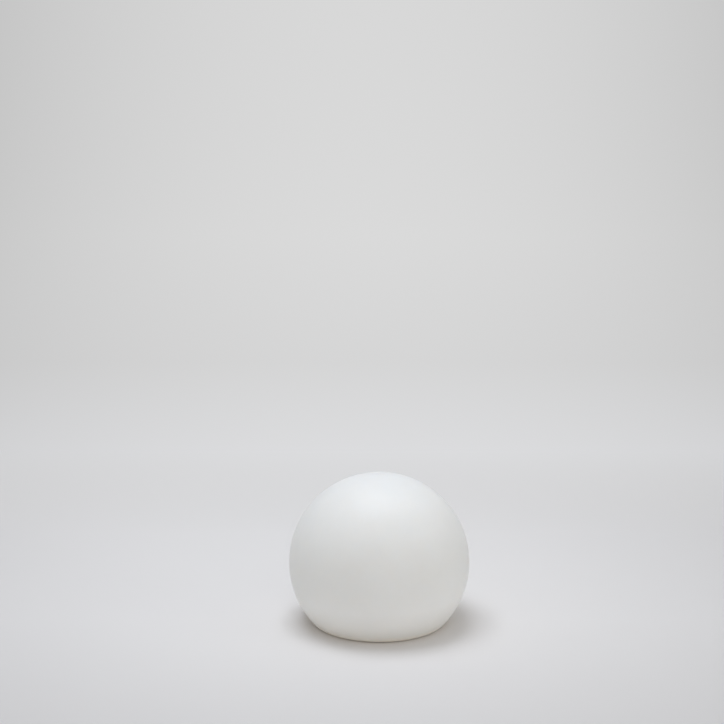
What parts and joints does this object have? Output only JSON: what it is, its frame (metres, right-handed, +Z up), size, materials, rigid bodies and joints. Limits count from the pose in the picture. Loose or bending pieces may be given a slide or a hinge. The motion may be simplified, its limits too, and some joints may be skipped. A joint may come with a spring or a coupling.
{
  "type": "solar lamp",
  "caption": "Round white moulded ball lamp with a flat foot; the globe lifts off a twist-locked base that holds the light, battery, solar panel, button and charging socket.",
  "frame": {"origin": "on the floor under the middle of the lamp", "axes": "+Z up through the middle of the ball, -Y towards the button and socket side, +X to the right of it"},
  "size_m": [0.3, 0.3, 0.2522],
  "materials": {
    "globe_white": "matte translucent white",
    "casing_white": "fine-grained white",
    "ring_grey": "fine-grained grey",
    "rubber_black": "matte",
    "rubber_grey": "matte",
    "screw_steel": "satin",
    "insert_brass": "satin",
    "window_clear": "gloss",
    "wafer_blue": "semi-gloss",
    "ribbon_silver": "satin",
    "backing_white": "matte",
    "board_green": "semi-gloss",
    "led_board_white": "white coated",
    "led_yellow": "semi-gloss",
    "dome_frost": "frosted translucent",
    "battery_blue": "sleeved",
    "tab_nickel": "satin",
    "tray_black": "matte",
    "chip_black": "semi-gloss",
    "ferrite_grey": "matte",
    "capacitor_silver": "satin",
    "connector_cream": "semi-gloss",
    "lead_red": "semi-gloss",
    "jack_black": "semi-gloss",
    "button_grey": "fine-grained grey"
  },
  "bodies": {
    "base": {"module_housing": "casing_white", "base_oring": "rubber_black", "base_plate": "casing_white", "plate_gasket": "rubber_grey", "plate_screws": "screw_steel", "foot_pads": "rubber_grey", "solar_window": "window_clear", "solar_cells": "wafer_blue", "cell_ribbons": "ribbon_silver", "solar_backing": "backing_white", "led_board": "led_board_white", "led_chips": "led_yellow", "led_screws": "screw_steel", "lead_grommet": "rubber_black", "diffuser_dome": "dome_frost", "dome_seal": "rubber_black", "dome_screws": "screw_steel", "battery_holder": "tray_black", "battery_cells": "battery_blue", "battery_tabs": "tab_nickel", "battery_strap": "rubber_black", "battery_screws": "screw_steel", "main_board": "board_green", "board_screws": "screw_steel", "board_chips": "chip_black", "board_inductor": "ferrite_grey", "board_capacitors": "capacitor_silver", "board_connectors": "connector_cream", "tact_switch": "chip_black", "charge_jack": "jack_black", "jack_pin": "tab_nickel", "jack_washer": "rubber_black", "jack_nut": "tab_nickel", "solar_leads": "lead_red", "battery_leads": "lead_red", "led_leads": "lead_red"},
    "globe": {"globe_shell": "globe_white", "seat_inserts": "insert_brass", "neck_collar": "casing_white", "collar_gasket": "rubber_grey", "collar_screws": "screw_steel"},
    "lock_ring": {"lock_ring": "ring_grey"},
    "power_button": {"power_button": "button_grey", "button_oring": "rubber_black", "switch_plunger": "jack_black"},
    "port_cap": {"port_cap": "rubber_grey"}
  },
  "joints": [
    {"name": "globe_lift", "type": "slide", "parent": "base", "child": "globe", "axis": [0, 0, 1], "range_m": [0, 0.15]},
    {"name": "lock_ring_turn", "type": "hinge", "parent": "base", "child": "lock_ring", "pos_m": [0, 0, 0.0053], "axis": [0, 0, 1], "range_deg": [0, 40]},
    {"name": "power_button_press", "type": "slide", "parent": "base", "child": "power_button", "axis": [0, 0, 1], "range_m": [0, 0.0008], "stiffness_N_per_m": 900, "springref_m": -0.002},
    {"name": "port_cap_swing", "type": "hinge", "parent": "base", "child": "port_cap", "pos_m": [0.02788, -0.05382, 0.0028], "axis": [0.2588, -0.9659, 0], "range_deg": [0, 100]}
  ]
}
